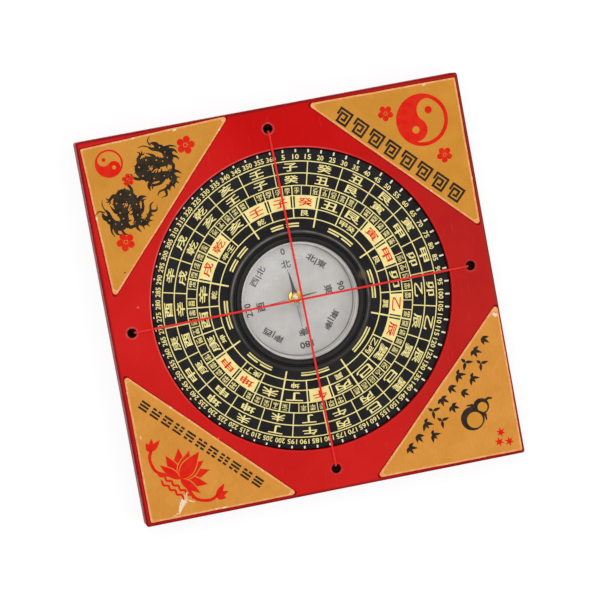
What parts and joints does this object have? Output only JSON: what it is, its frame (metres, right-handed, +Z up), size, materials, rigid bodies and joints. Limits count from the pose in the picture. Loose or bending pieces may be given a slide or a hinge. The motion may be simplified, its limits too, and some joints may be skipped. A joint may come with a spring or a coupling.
{
  "type": "feng shui compass",
  "caption": "Square plate with a turning printed ring dial, a glazed magnetic needle capsule at its centre and two threads crossed over it.",
  "frame": {"origin": "middle of the underside, on the surface that the plate lies on", "axes": "+Z up out of the dial, +Y to the plate's north side, +X to its east side"},
  "size_m": [0.1, 0.1, 0.009],
  "materials": {
    "red_plate": "moulded, semi-gloss",
    "red_cover": "moulded, matt",
    "screw_steel": "zinc plated",
    "gold_sheet": "printed sheet, satin",
    "felt": "pressed felt",
    "red_thread": "twisted nylon thread",
    "black_disc": "moulded",
    "dial_print_ground": "printed aluminium, satin",
    "silver_cup": "pressed, whitened",
    "card_print_ground": "printed sheet, satin",
    "brass": "turned",
    "seal_rubber": "moulded",
    "clear_glass": "clear",
    "black_bezel": "moulded, semi-gloss",
    "ring_steel": "spring steel",
    "blued_steel": "blued",
    "gold_ink": "printed ink",
    "red_ink": "printed ink",
    "black_ink": "printed ink"
  },
  "bodies": {
    "plate": {"base_plate": "red_plate", "back_cover": "red_cover", "cover_screw_ne": "screw_steel", "cover_screw_nw": "screw_steel", "cover_screw_sw": "screw_steel", "cover_screw_se": "screw_steel", "corner_plate_nw": "gold_sheet", "corner_plate_ne": "gold_sheet", "corner_plate_sw": "gold_sheet", "corner_plate_se": "gold_sheet", "dial_washer": "felt", "thread_ew": "red_thread", "thread_ns": "red_thread"},
    "dial": {"dial_disc": "black_disc", "dial_face": "dial_print_ground", "capsule_cup": "silver_cup", "compass_card": "card_print_ground", "pivot_pin": "brass", "glass_seal": "seal_rubber", "cover_glass": "clear_glass", "bezel_ring": "black_bezel", "thrust_washer": "brass", "snap_ring": "ring_steel"},
    "needle": {"needle": "blued_steel", "needle_cap": "brass"}
  },
  "joints": [
    {"name": "dial_turn", "type": "hinge", "parent": "plate", "child": "dial", "pos_m": [0, 0, 0.006], "axis": [0, 0, 1], "continuous": true},
    {"name": "needle_turn", "type": "hinge", "parent": "dial", "child": "needle", "pos_m": [-0.0012, 0.0006, 0.005], "axis": [0, 0, 1], "continuous": true}
  ]
}
